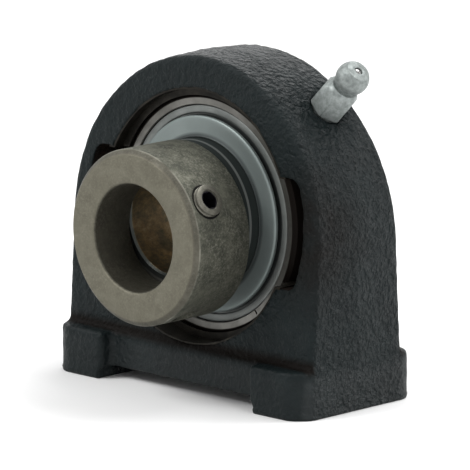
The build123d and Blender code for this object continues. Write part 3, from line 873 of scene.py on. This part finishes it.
front_face, rear_face = (
    [
        (19.1, side * 3.31),
        (19.1, side * 4.4),
        (20.4, side * 4.4),
        (20.4, side * (OUTER_HALF - 0.12)),
        (20.55, side * OUTER_HALF),
        (21.93, side * OUTER_HALF),
        (22.38, side * (OUTER_HALF - 0.45)),
    ]
    for side in (-1, 1)
)
sphere = arc(OUTER_RADIUS, 0.6 - OUTER_HALF, OUTER_HALF - 0.6, 24)
outer_shape = turn(front_face + sphere + rear_face[::-1] + raceway(OUTER_RACE, 1))
notch = box(NOTCH_SIZE, (NOTCH_RADIUS, -OUTER_HALF, 0))
swing = Matrix.Translation(SHAFT_CENTRE) @ Matrix.Rotation(math.radians(NOTCH_ANGLE), 4, "Y")
bmesh.ops.transform(notch, matrix=swing, verts=notch.verts[:])
outer_shape = combine(outer_shape, notch)
hole_place = radial(SHAFT_HEIGHT, RING_HOLE_STATION, NIPPLE_ANGLE)
outer_shape = combine(outer_shape, cylinder(RING_HOLE_RADIUS, 18, 30, hole_place, steps=24))
make_piece(
    "outer_ring_ground", outer_shape, "outer_ring_body", ring_steel, ["outer_ring"]
)

# %% [markdown]
# ### Inner ring
# The ring and its cam are turned solid, each about its own axis, and joined. Only then is the
# bore drilled through both with its two chamfers, so that they share one clean wall.

# %% Inner ring
NECK_RADIUS = 14.4
RING_REAR = 17.1
CAM_RADIUS = 13.3
CAM_FRONT = -17.1
inner_profile = [
    (0.0, -11.9),
    (14.26, -11.9),
    (14.28, -10.5),
    (NECK_RADIUS, -9.95),
    (NECK_RADIUS, -3.3),
    *[corner for corner in raceway(INNER_RACE, -1) if corner[0] < NECK_RADIUS],
    (NECK_RADIUS, 3.3),
    (NECK_RADIUS, RING_REAR - 0.4),
    (NECK_RADIUS - 0.4, RING_REAR),
    (0.0, RING_REAR),
]
cam_profile = [
    (0, -11.5),
    (CAM_RADIUS, -11.5),
    (CAM_RADIUS, CAM_FRONT + 0.3),
    (CAM_RADIUS - 0.3, CAM_FRONT),
    (0, CAM_FRONT),
]
bore_profile = [
    (0, CAM_FRONT - 0.6),
    (BORE_RADIUS + 1, CAM_FRONT - 0.6),
    (BORE_RADIUS, CAM_FRONT + 0.4),
    (BORE_RADIUS, RING_REAR - 0.4),
    (BORE_RADIUS + 1, RING_REAR + 0.6),
    (0, RING_REAR + 0.6),
]
inner_shape = combine(turn(inner_profile), turn(cam_profile, CAM_HEIGHT), "UNION")
inner_shape = combine(inner_shape, turn(bore_profile))
make_piece(
    "inner_ring_ground", inner_shape, "inner_ring_body", ring_steel, ["inner_ring"]
)

# %% [markdown]
# ## Seals and flingers
# Each face is closed by a pressed steel ring snapped in the outer ring, a rubber lip moulded
# behind it, and a flinger pressed on the inner ring. The flinger is dished so that it throws
# dirt outwards, and its rim is rolled, which gives it a bright edge. One profile is turned for
# the front, and a mirrored copy serves the rear. At its hub the flinger ends in a small lip,
# with a groove outside it that its finish paints dark as shade.


# %% Mirror a shape to the rear
def to_rear(shape):
    bmesh.ops.scale(shape, vec=Vector((1, -1, 1)), verts=shape.verts[:])
    bmesh.ops.recalc_face_normals(shape, faces=shape.faces[:])
    return shape


def front_and_rear(name, profile, body, finish, node, edge=0.0):
    """One piece at the front and its mirror image at the rear, with edges rounded by edge."""
    for end in ("front", "rear"):
        shape = turn(profile)
        if edge:
            round_edges(shape, edge)
        if end == "rear":
            shape = to_rear(shape)
        make_piece(f"{name}_{end}", shape, body, finish, [f"{node}_{end}"])


print("mirror ready")

# %% Seal sheets
carrier_profile = [
    (19.8, -4.42),
    (20.38, -4.42),
    (20.38, -4.85),
    (20.32, -5.0),
    (20.3, -6.5),
    (20.23, -6.64),
    (20.1, -6.7),
    (19.1, -6.7),
    (18.95, -6.64),
    (18.75, -6.38),
    (17.4, -6.35),
    (17.4, -6.02),
    (19.5, -6.02),
    (19.8, -5.7),
]
front_and_rear(
    "seal_carrier",
    carrier_profile,
    "outer_ring_body",
    seal_sheet,
    "seal_shield",
    edge=0.03,
)

# %% Seal lips
lip_profile = [
    (19.3, -5.98),
    (17.38, -5.98),
    (17.38, -6.33),
    (16.85, -6.33),
    (15.0, -6.0),
    (14.48, -5.98),
    (14.47, -5.75),
    (15.0, -5.45),
    (19.3, -5.45),
]
front_and_rear(
    "seal_rubber_lip",
    lip_profile,
    "outer_ring_body",
    nitrile_rubber,
    "seal_lip",
    edge=0.05,
)

# %% Flingers
flinger_profile = [
    (14.41, -6.8),
    (14.41, -8.16),
    (14.5, -8.25),
    (14.65, -8.25),
    (14.78, -8.12),
    (15.2, -8.03),
    (15.8, -7.97),
    (16.5, -7.93),
    (17.3, -7.95),
    (17.9, -7.97),
    (18.2, -7.93),
    (18.4, -7.82),
    (18.48, -7.66),
    (18.48, -7.3),
    (18.1, -7.3),
    (17.9, -7.5),
    (17.2, -7.46),
    (15.3, -7.46),
    (15.1, -7.6),
    (14.85, -7.6),
    (14.85, -6.8),
]
front_and_rear(
    "flinger_disc", flinger_profile, "inner_ring_body", flinger_zinc, "flinger"
)

# %% [markdown]
# ## Locking collar
# The collar is a thick ring turned all over. Its recess is off centre by the eccentricity, so
# that a turn of the collar wedges it on the cam. Two holes cross it: a tapped one for the set
# screw, with a countersunk mouth, and a blind one for the drift that turns it.

# %% Turn and drill the collar
COLLAR_BORE = 10.04
COLLAR_REAR = -12.3
RECESS_RADIUS, RECESS_FLOOR = 13.35, -17.4
TAPPED_RADIUS = 3.03
DRIFT_RADIUS, DRIFT_FLOOR = 2.5, 12.5
DRIFT_STATION, DRIFT_ANGLE = -21.5, -60
collar_profile = [
    (COLLAR_BORE, COLLAR_REAR),
    (COLLAR_RADIUS - 0.5, COLLAR_REAR),
    (COLLAR_RADIUS, COLLAR_REAR - 0.5),
    (COLLAR_RADIUS, COLLAR_FRONT + COLLAR_BEVEL),
    (COLLAR_RADIUS - COLLAR_BEVEL, COLLAR_FRONT),
    (COLLAR_BORE + 0.4, COLLAR_FRONT),
    (COLLAR_BORE, COLLAR_FRONT + 0.4),
]
collar_shape = round_edges(turn(collar_profile, COLLAR_HEIGHT), 0.15)
drift_place = radial(COLLAR_HEIGHT, DRIFT_STATION, DRIFT_ANGLE)
for cutter in (
    cylinder(RECESS_RADIUS, RECESS_FLOOR, -5, along_shaft(CAM_HEIGHT), steps=TURNS),
    cylinder(TAPPED_RADIUS, 5, 25, screw_place),
    cylinder(2.75, 15.9, 17.0, screw_place, 3.85),
    cylinder(DRIFT_RADIUS, DRIFT_FLOOR, 25, drift_place),
):
    collar_shape = combine(collar_shape, cutter)
make_piece(
    "collar_turned",
    collar_shape,
    "collar_body",
    collar_steel,
    ["locking_collar"],
)

# %% [markdown]
# ## Set screw
# The screw has no head. A hexagon socket is sunk in its outer end, and its inner end is a cup
# with a sharp rim that bites the shaft. It is backed out a little, so its last threads show.
# The threads are modelled as rings, which look the same at this size and are simpler to turn.


# %% Turn about any axis
def turn_upright(profile, place, steps=96):
    """Turned shape from pairs of radius and height about the Z of a place."""
    shape = bmesh.new()
    corners = [shape.verts.new((r * MM, 0, z * MM)) for r, z in profile]
    rim = [shape.edges.new((a, b)) for a, b in zip(corners, corners[1:] + corners[:1])]
    bmesh.ops.spin(
        shape,
        geom=corners + rim,
        cent=(0, 0, 0),
        axis=(0, 0, 1),
        angle=2 * math.pi,
        steps=steps,
        use_merge=True,
    )
    bmesh.ops.remove_doubles(shape, verts=shape.verts[:], dist=1e-7)
    bmesh.ops.transform(shape, matrix=place, verts=shape.verts[:])
    bmesh.ops.recalc_face_normals(shape, faces=shape.faces[:])
    return shape


# %% Set screw
SCREW_TIP, SCREW_END = 11.45, 17.45
THREAD_PITCH = 0.85
CREST_RADIUS, ROOT_RADIUS = 2.98, 2.62
SOCKET_DEPTH = 3.2
screw_profile = [(0.0, SCREW_TIP), (2.4, SCREW_TIP), (ROOT_RADIUS, SCREW_TIP + 0.15)]
reach = SCREW_TIP + 0.5
while reach < SCREW_END - 1.2:
    screw_profile += [
        (CREST_RADIUS, reach),
        (CREST_RADIUS, reach + 0.2),
        (ROOT_RADIUS, reach + 0.45),
        (ROOT_RADIUS, reach + 0.6),
    ]
    reach += THREAD_PITCH
screw_profile += [
    (CREST_RADIUS, reach),
    (CREST_RADIUS, SCREW_END - 0.22),
    (CREST_RADIUS - 0.05, SCREW_END - 0.08),
    (CREST_RADIUS - 0.18, SCREW_END),
    (0.0, SCREW_END),
]
screw_shape = turn_upright(screw_profile, screw_place)
for cutter in (
    cylinder(SOCKET_RADIUS, SCREW_END - SOCKET_DEPTH, 20, screw_place, steps=6),
    cylinder(1.9, SCREW_END - 0.25, SCREW_END + 0.1, screw_place, 1.98, 48),
    cylinder(1.5, SCREW_TIP - 0.35, SCREW_TIP + 0.7, screw_place, 0.3, 48),
):
    screw_shape = combine(screw_shape, cutter)
make_piece(
    "set_screw_turned", screw_shape, "screw_body", screw_oxide, ["set_screw"]
)

# %% [markdown]
# ## Grease nipple
# The nipple stands on a spot face, square to the shaft and over the grease groove. A hexagon
# takes the spanner and ends in a conical shoulder, and a short neck carries the ball-shaped
# head that the coupler of the grease gun grips. A check ball closes the hole in the tip.

# %% Turned part of the nipple
HEAD_RADIUS = 3.14
HEAD_CENTRE = 8.45
TIP_HEIGHT = 10.79
HOLE_RADIUS, CHECK_RADIUS = 0.75, 1.3
head_angles = [math.radians(a) for a in range(-44, 45, 4)]
head = [
    (HEAD_RADIUS * math.cos(a), HEAD_CENTRE + HEAD_RADIUS * math.sin(a)) for a in head_angles
]
nipple_profile = [
    (2.95, -4.8),
    (2.95, -0.3),
    (2.2, 5.0),
    (2.15, 5.9),
    *head,
    (1.55, 10.7),
    (1.35, TIP_HEIGHT),
    (0.95, TIP_HEIGHT),
    (0.78, 10.7),
    (HOLE_RADIUS, 10.5),
    (CHECK_RADIUS, 9.9),
    (CHECK_RADIUS, 5.0),
    (HOLE_RADIUS, 4.9),
    (HOLE_RADIUS, -4.8),
]
print("corners of the nipple", len(nipple_profile))

# %% Hexagon and nipple
HEXAGON_TURN = 26
HEXAGON_RADIUS = 3.69
HEXAGON_FOOT, HEXAGON_TOP = -0.47, 5.88
turned_place = nipple_place @ Matrix.Rotation(math.radians(HEXAGON_TURN), 4, "Z")
hexagon = cylinder(HEXAGON_RADIUS, HEXAGON_FOOT, HEXAGON_TOP + 0.02, turned_place, steps=6)
round_edges(hexagon, 0.12)
cone_profile = [
    (0.9, HEXAGON_FOOT),
    (3.3, HEXAGON_FOOT),
    (3.5, -0.38),
    (HEXAGON_RADIUS, -0.1),
    (HEXAGON_RADIUS, 3.85),
    (3.64, 4.05),
    (2.72, 5.78),
    (2.6, HEXAGON_TOP),
    (0.9, HEXAGON_TOP),
]
hexagon = combine(hexagon, turn_upright(cone_profile, nipple_place), "INTERSECT")
nipple_shape = combine(turn_upright(nipple_profile, nipple_place), hexagon, "UNION")
make_piece(
    "nipple_turned", nipple_shape, "housing_body", nipple_zinc, ["grease_nipple"]
)

# %% [markdown]
# ## Pieces that keep their rigid solid
# Balls, cage, rivets and check ball have the right shape already and only need their finish.
# The spring is a copy of its rigid solid, with a mesh of its own. It is bright steel like the
# cage, and takes the same finish.

# %% Check spring
spring_shape = copy_of("nipple_spring")
spring = make_piece(
    "nipple_coil", spring_shape, "housing_body", cage_sheet, ["nipple_spring"]
)
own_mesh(spring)

# %% Dress the remaining nodes
kept = {name: cage_sheet for name in ("cage_half_front", "cage_half_rear", "cage_rivets")}
kept |= {f"ball_{number}": ball_steel for number in range(1, 9)}
kept["nipple_ball"] = ball_steel
for name, finish in kept.items():
    mesh = nodes[name].data
    mesh.materials.clear()
    mesh.materials.append(finish)
print("dressed", len(kept))

# %% [markdown]
# ## Floor, light and camera
# A pale sheet of paper lies under the part and takes its shadow.

# %% Floor
FLOOR_REACH = 0.5
PAPER = (0.92, 0.92, 0.92)
paper = Surface("floor_paper", rough=0.9)
fibres = paper.grain(60.0, 2.0, 0.5)
shade = paper.colours(fibres, (0.3, PAPER), (0.7, tuple(c * 0.99 for c in PAPER)))

floor_shape = bmesh.new()
bmesh.ops.create_grid(floor_shape, x_segments=1, y_segments=1, size=FLOOR_REACH)
floor_mesh = bpy.data.meshes.new("floor")
floor_shape.to_mesh(floor_mesh)
floor_shape.free()
floor = bpy.data.objects.new("floor", floor_mesh)
bpy.context.scene.collection.objects.link(floor)
floor_mesh.materials.append(paper.wear(shade))
print(floor.name, "reaches", FLOOR_REACH)

# %% [markdown]
# ### World
# The world is white for rays from the camera and for reflections, and half as bright for
# everything else, so that no extra light falls on the part. The light path says which kind of
# ray is asking.

# %% White surroundings
LIGHT_LEVEL, SEEN_LEVEL = 0.5, 1.0
world = bpy.data.worlds.new("studio")
bpy.context.scene.world = world
world.use_nodes = True
sky = world.node_tree
background = sky.nodes["Background"]
background.inputs["Color"].default_value = (1, 1, 1, 1)
path = sky.nodes.new("ShaderNodeLightPath")
seen = path.outputs["Is Camera Ray"]
for kind in ("Is Glossy Ray", "Is Transmission Ray"):
    either = sky.nodes.new("ShaderNodeMath")
    either.operation = "MAXIMUM"
    sky.links.new(seen, either.inputs[0])
    sky.links.new(path.outputs[kind], either.inputs[1])
    seen = either.outputs["Value"]
strength = sky.nodes.new("ShaderNodeMapRange")
sky.links.new(seen, strength.inputs["Value"])
strength.inputs["To Min"].default_value = LIGHT_LEVEL
strength.inputs["To Max"].default_value = SEEN_LEVEL
sky.links.new(strength.outputs["Result"], background.inputs["Strength"])
print("world", world.name)

# %% [markdown]
# ### Lamps
# One large soft lamp hangs high on the left and a weak strip fills from the right. A third lamp
# lights the crown from above. Two more stand behind the part: one on the left draws out the
# grain along the crown, and a strip on the right does the same for the far edge of the side.


# %% Soft lamps
def lamp(name, place, target_height, size, power):
    """Area lamp that looks at a point on the vertical axis of the part."""
    light = bpy.data.lights.new(name, "AREA")
    light.shape = "RECTANGLE"
    light.size, light.size_y = size
    light.energy = power
    thing = bpy.data.objects.new(name, light)
    thing.location = place
    aim = Vector((0, 0, target_height)) - Vector(place)
    thing.rotation_euler = aim.to_track_quat("-Z", "Y").to_euler()
    bpy.context.scene.collection.objects.link(thing)
    print(name, power)


lamp("key_softbox", (-0.25, -0.45, 0.55), 0.03, (0.35, 0.35), 3.5)
lamp("right_strip", (0.55, -0.15, 0.25), 0.03, (0.15, 0.4), 0.8)
lamp("top_softbox", (0.1, 0.25, 0.6), 0.03, (0.4, 0.3), 2.6)
lamp("back_softbox", (-0.33, 0.45, 0.38), 0.05, (0.3, 0.2), 0.5)
lamp("edge_strip", (0.45, 0.5, 0.2), 0.03, (0.12, 0.4), 1.5)

# %% [markdown]
# ### Camera
# A long lens from the front right, a little above the block. The picture is square, and the
# sensor is 36 mm wide. The lens follows from the scale wanted at the part: so many picture
# elements for each metre.

# %% Camera
AZIMUTH, ELEVATION, ROLL = (math.radians(angle) for angle in (44.11, 11.73, 0.08))
DISTANCE = 1.174
AIM = Vector((0.42, 0, SHAFT_HEIGHT - 5.05)) * MM
PICTURE_WIDTH = 470
PIXELS_PER_METRE = 5367.0
SENSOR_WIDTH = 36.0
camera_data = bpy.data.cameras.new("camera")
camera_data.sensor_width = SENSOR_WIDTH
camera_data.lens = SENSOR_WIDTH * PIXELS_PER_METRE * DISTANCE / PICTURE_WIDTH
camera_data.clip_start, camera_data.clip_end = 0.01, 10
camera = bpy.data.objects.new("camera", camera_data)
flat = math.cos(ELEVATION)
back = Vector((math.sin(AZIMUTH) * flat, -math.cos(AZIMUTH) * flat, math.sin(ELEVATION)))
look = (-back).to_track_quat("-Z", "Y").to_matrix().to_4x4()
place = Matrix.Translation(AIM + back * DISTANCE)
camera.matrix_world = place @ look @ Matrix.Rotation(ROLL, 4, "Z")
bpy.context.scene.collection.objects.link(camera)
bpy.context.scene.camera = camera
bpy.context.scene.view_settings.view_transform = "Standard"
print("lens", round(camera_data.lens, 1))
